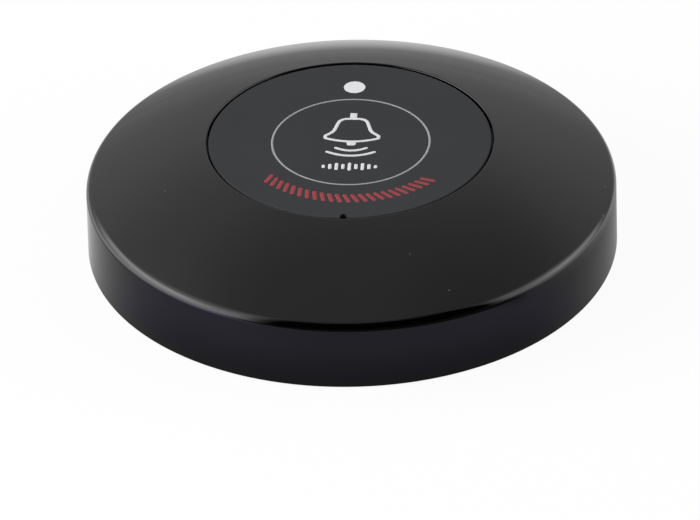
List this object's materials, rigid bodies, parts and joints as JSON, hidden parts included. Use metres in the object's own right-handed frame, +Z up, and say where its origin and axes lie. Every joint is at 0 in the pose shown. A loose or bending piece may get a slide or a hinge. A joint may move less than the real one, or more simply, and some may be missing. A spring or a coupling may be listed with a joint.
{
  "type": "waiter call button",
  "caption": "Round glossy table-top call button with one large flush press cap, an indicator window and a twist-off battery door.",
  "frame": {"origin": "centre of the underside, on the face of the foot ring that meets the table", "axes": "+Z up, in which the press cap faces; +Y towards the indicator window; -Y towards the pry notch"},
  "size_m": [0.08, 0.08, 0.0184],
  "materials": {
    "shell_black": "gloss moulded ABS, polished",
    "cap_satin": "fine satin texture, dark grey",
    "lens_white": "milky white translucent acrylic",
    "base_black": "fine spark-eroded texture",
    "rubber_black": "matte silicone rubber",
    "zinc_steel": "zinc plated steel",
    "nickel": "bright nickel plating",
    "board_green": "solder mask over glass-fibre board",
    "epoxy_black": "moulded epoxy",
    "ceramic_tan": "fired ceramic with tinned ends",
    "tinned": "tinned copper leads",
    "copper": "bare copper wire",
    "cell_steel": "stainless steel can",
    "led_amber": "white moulded LED body with a yellow phosphor",
    "plunger_black": "moulded nylon"
  },
  "bodies": {
    "housing": {"top_shell": "shell_black", "return_spring": "zinc_steel", "base_plate": "base_black", "foot_ring": "rubber_black", "housing_gasket": "rubber_black", "housing_screws": "zinc_steel", "coin_cell": "cell_steel", "negative_contact": "nickel", "positive_contact": "nickel", "circuit_board": "board_green", "board_screws": "zinc_steel", "switch_body": "epoxy_black", "switch_cover": "nickel", "switch_snap_dome": "nickel", "switch_terminals": "tinned", "indicator_led": "led_amber", "encoder_chip": "epoxy_black", "encoder_leads": "tinned", "crystal": "nickel", "radio_transistor": "epoxy_black", "chip_capacitors": "ceramic_tan", "chip_resistors": "epoxy_black", "antenna_loop": "copper"},
    "cap": {"press_cap": "cap_satin", "light_guide": "lens_white"},
    "plunger": {"switch_plunger": "plunger_black"},
    "door": {"battery_door": "base_black", "door_seal": "rubber_black"}
  },
  "joints": [
    {"name": "cap_press", "type": "slide", "parent": "housing", "child": "cap", "axis": [0, 0, -1], "range_m": [0, 0.00035], "stiffness_N_per_m": 400, "springref_m": -0.003, "deforming": ["return_spring"]},
    {"name": "plunger_press", "type": "slide", "parent": "housing", "child": "plunger", "axis": [0, 0, -1], "range_m": [0, 0.00035], "deforming": ["switch_snap_dome"]},
    {"name": "door_twist", "type": "hinge", "parent": "housing", "child": "door", "pos_m": [0, 0, 0.001], "axis": [0, 0, -1], "range_deg": [0, 45]}
  ],
  "couplings": [
    {"joint": "plunger_press", "follows": "cap_press", "ratio": 1}
  ]
}
